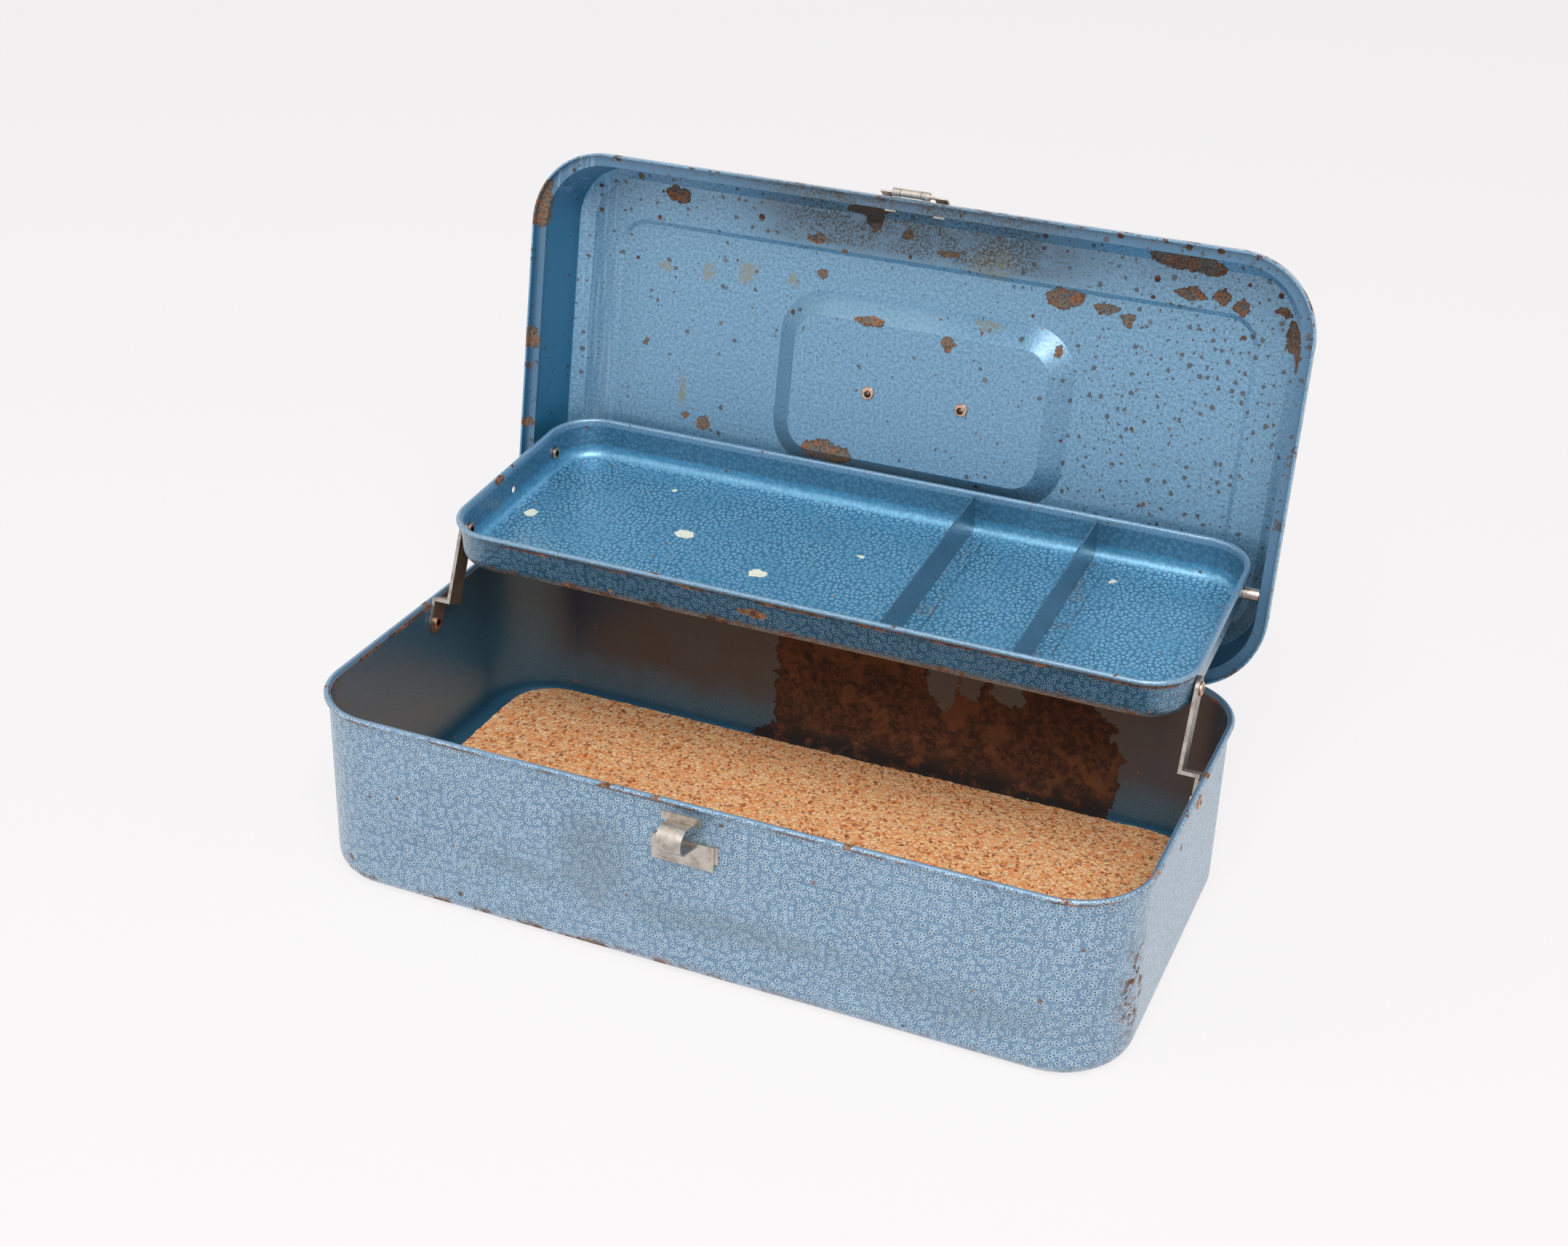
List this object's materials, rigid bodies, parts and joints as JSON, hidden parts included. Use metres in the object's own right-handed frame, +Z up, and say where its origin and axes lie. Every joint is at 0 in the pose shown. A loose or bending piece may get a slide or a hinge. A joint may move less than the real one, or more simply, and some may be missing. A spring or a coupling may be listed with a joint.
{
  "type": "toolbox with tray",
  "caption": "Drawn steel toolbox with a hinged lid, a hasp and spring catch, a bail handle and a compartment tray that lifts as the lid opens; cork-lined base.",
  "frame": {"origin": "middle of the underside of the base", "axes": "+X along the box to the right as seen from the front, -Y the front with the catch, +Z up"},
  "size_m": [0.3524, 0.2609, 0.2614],
  "materials": {
    "blue_enamel": "blue hammertone enamel, satin, chipped to rust at the edges",
    "cork": "matt pressed cork granulate",
    "plated_steel": "tarnished nickel plate",
    "coppered_steel": "copper-coloured plate, worn"
  },
  "bodies": {
    "base": {"base_shell": "blue_enamel", "cork_mat": "cork", "catch_plate": "plated_steel", "hinge_base_leaf_left": "blue_enamel", "hinge_base_leaf_right": "blue_enamel", "hinge_pins": "plated_steel", "link_lower_rivets": "coppered_steel"},
    "catch": {"catch_spring": "plated_steel"},
    "lid": {"lid_shell": "blue_enamel", "hinge_lid_leaf_left": "blue_enamel", "hinge_lid_leaf_right": "blue_enamel", "hasp_plate": "plated_steel", "hasp_pin": "plated_steel", "handle_saddles": "plated_steel", "handle_rivets": "coppered_steel", "pivot_spacer_left": "coppered_steel", "pivot_spacer_right": "coppered_steel", "pivot_rivets": "coppered_steel"},
    "hasp": {"hasp_flap": "plated_steel"},
    "handle": {"handle_bail": "plated_steel"},
    "tray": {"tray_pan": "blue_enamel", "tray_divider_left": "blue_enamel", "tray_divider_right": "blue_enamel", "link_upper_rivets": "coppered_steel"},
    "link_left": {"link_left": "plated_steel"},
    "link_right": {"link_right": "plated_steel"}
  },
  "joints": [
    {"name": "lid_hinge", "type": "hinge", "parent": "base", "child": "lid", "pos_m": [0, 0.09145, 0.07745], "axis": [-1, 0, 0], "range_deg": [-99.5, 0]},
    {"name": "tray_pivot", "type": "hinge", "parent": "lid", "child": "tray", "pos_m": [0, 0.10884, 0.11743], "axis": [-1, 0, 0], "range_deg": [0, 99.5]},
    {"name": "link_left_pivot", "type": "hinge", "parent": "base", "child": "link_left", "pos_m": [0, 0.01329, 0.0713], "axis": [-1, 0, 0], "range_deg": [-99.5, 0]},
    {"name": "link_right_pivot", "type": "hinge", "parent": "base", "child": "link_right", "pos_m": [0, 0.01329, 0.0713], "axis": [-1, 0, 0], "range_deg": [-99.5, 0]},
    {"name": "hasp_hinge", "type": "hinge", "parent": "lid", "child": "hasp", "pos_m": [0, 0.12797, 0.25962], "axis": [1, 0, 0], "range_deg": [0, 213]},
    {"name": "handle_pivot", "type": "hinge", "parent": "lid", "child": "handle", "pos_m": [0, 0.14067, 0.17076], "axis": [1, 0, 0], "range_deg": [-8, 150]},
    {"name": "catch_flex", "type": "hinge", "parent": "base", "child": "catch", "pos_m": [0, -0.09075, 0.0641], "axis": [1, 0, 0], "range_deg": [0, 5], "stiffness_Nm_per_rad": 2}
  ],
  "couplings": [
    {"joint": "tray_pivot", "follows": "lid_hinge", "ratio": -1},
    {"joint": "link_left_pivot", "follows": "lid_hinge", "ratio": 1},
    {"joint": "link_right_pivot", "follows": "lid_hinge", "ratio": 1}
  ]
}
